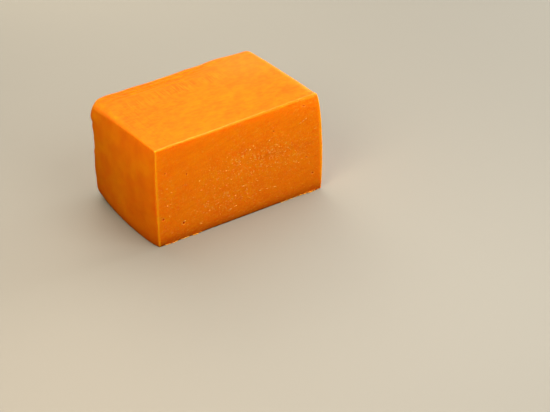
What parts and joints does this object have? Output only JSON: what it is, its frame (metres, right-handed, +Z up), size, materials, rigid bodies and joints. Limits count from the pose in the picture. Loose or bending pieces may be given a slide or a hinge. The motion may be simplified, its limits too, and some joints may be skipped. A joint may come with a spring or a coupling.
{
  "type": "cheddar cheese block",
  "caption": "Block of red cheddar with one long wire-cut face, moulded rounded back edges and small open pits in the cut.",
  "frame": {"origin": "middle of the base's bounding rectangle, on the surface that the block rests on", "axes": "+Z up; the wire-cut face looks towards -Y and runs along X"},
  "size_m": [0.151, 0.095, 0.0833],
  "materials": {
    "cheddar": "satin"
  },
  "bodies": {
    "root": {"cheese_block": "cheddar"}
  },
  "joints": []
}
